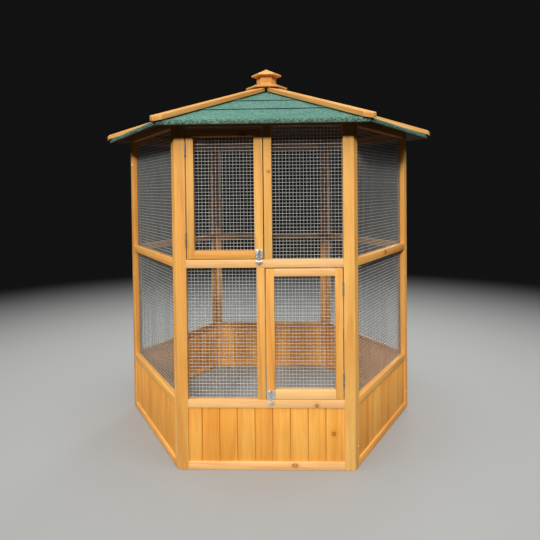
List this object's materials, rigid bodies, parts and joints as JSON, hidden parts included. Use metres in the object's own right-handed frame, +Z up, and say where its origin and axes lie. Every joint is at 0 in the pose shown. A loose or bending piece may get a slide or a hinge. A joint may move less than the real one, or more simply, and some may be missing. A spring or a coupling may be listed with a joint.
{
  "type": "flight bird cage",
  "caption": "Hexagonal timber garden aviary with weld mesh windows, boarded skirt, two framed front doors on butt hinges with barrel bolts, and a green felt roof with hip battens and finial.",
  "frame": {"origin": "middle of the hexagonal footprint, on the ground", "axes": "+Z up; the front wall with its two doors faces -Y; +X to the right seen from the front"},
  "size_m": [1.5198, 1.3162, 1.5935],
  "materials": {
    "frame_wood": "honey stained, satin",
    "board_wood": "honey stained, satin",
    "roof_wood": "honey stained, satin",
    "deck_wood": "honey stained, matt",
    "felt": "green mineral felt",
    "mesh_wire": "galvanised",
    "zinc": "zinc plated"
  },
  "bodies": {
    "cage": {"front_left_stile": "frame_wood", "front_right_stile": "frame_wood", "front_top_rail": "frame_wood", "front_mid_rail": "frame_wood", "front_skirt_rail": "frame_wood", "front_bottom_rail": "frame_wood", "front_upper_mullion": "frame_wood", "front_lower_mullion": "frame_wood", "front_boards": "board_wood", "front_upper_mesh": "mesh_wire", "front_lower_mesh": "mesh_wire", "frame_hinge_leaves": "zinc", "hinge_pins": "zinc", "bolt_keepers": "zinc", "hardware_screws": "zinc", "corner_screws": "zinc", "right_front_frame": "frame_wood", "right_front_boards": "board_wood", "right_front_mesh": "mesh_wire", "right_rear_frame": "frame_wood", "right_rear_boards": "board_wood", "right_rear_mesh": "mesh_wire", "rear_frame": "frame_wood", "rear_boards": "board_wood", "rear_mesh": "mesh_wire", "left_rear_frame": "frame_wood", "left_rear_boards": "board_wood", "left_rear_mesh": "mesh_wire", "left_front_frame": "frame_wood", "left_front_boards": "board_wood", "left_front_mesh": "mesh_wire", "roof_decks": "deck_wood", "roof_felts": "felt", "hip_battens": "roof_wood", "hip_screws": "zinc", "finial_plate": "roof_wood", "finial_block": "roof_wood", "finial_cap": "roof_wood", "finial_dowel": "roof_wood"},
    "upper_door": {"upper_door_hinge_stile": "frame_wood", "upper_door_latch_stile": "frame_wood", "upper_door_top_rail": "frame_wood", "upper_door_bottom_rail": "frame_wood", "upper_door_mesh": "mesh_wire", "upper_door_hinge_leaves": "zinc", "upper_bolt_case": "zinc", "upper_door_screws": "zinc"},
    "upper_bolt": {"upper_bolt": "zinc"},
    "lower_door": {"lower_door_hinge_stile": "frame_wood", "lower_door_latch_stile": "frame_wood", "lower_door_top_rail": "frame_wood", "lower_door_bottom_rail": "frame_wood", "lower_door_mesh": "mesh_wire", "lower_door_hinge_leaves": "zinc", "lower_bolt_case": "zinc", "lower_door_screws": "zinc"},
    "lower_bolt": {"lower_bolt": "zinc"}
  },
  "joints": [
    {"name": "upper_door_swing", "type": "hinge", "parent": "cage", "child": "upper_door", "pos_m": [-0.285, -0.56592, 1.01], "axis": [0, 0, -1], "range_deg": [0, 170]},
    {"name": "lower_door_swing", "type": "hinge", "parent": "cage", "child": "lower_door", "pos_m": [0.285, -0.56592, 0.5], "axis": [0, 0, 1], "range_deg": [0, 170]},
    {"name": "upper_bolt_slide", "type": "slide", "parent": "upper_door", "child": "upper_bolt", "axis": [0, 0, -1], "range_m": [0, 0.02]},
    {"name": "lower_bolt_slide", "type": "slide", "parent": "lower_door", "child": "lower_bolt", "axis": [0, 0, -1], "range_m": [0, 0.02]}
  ]
}
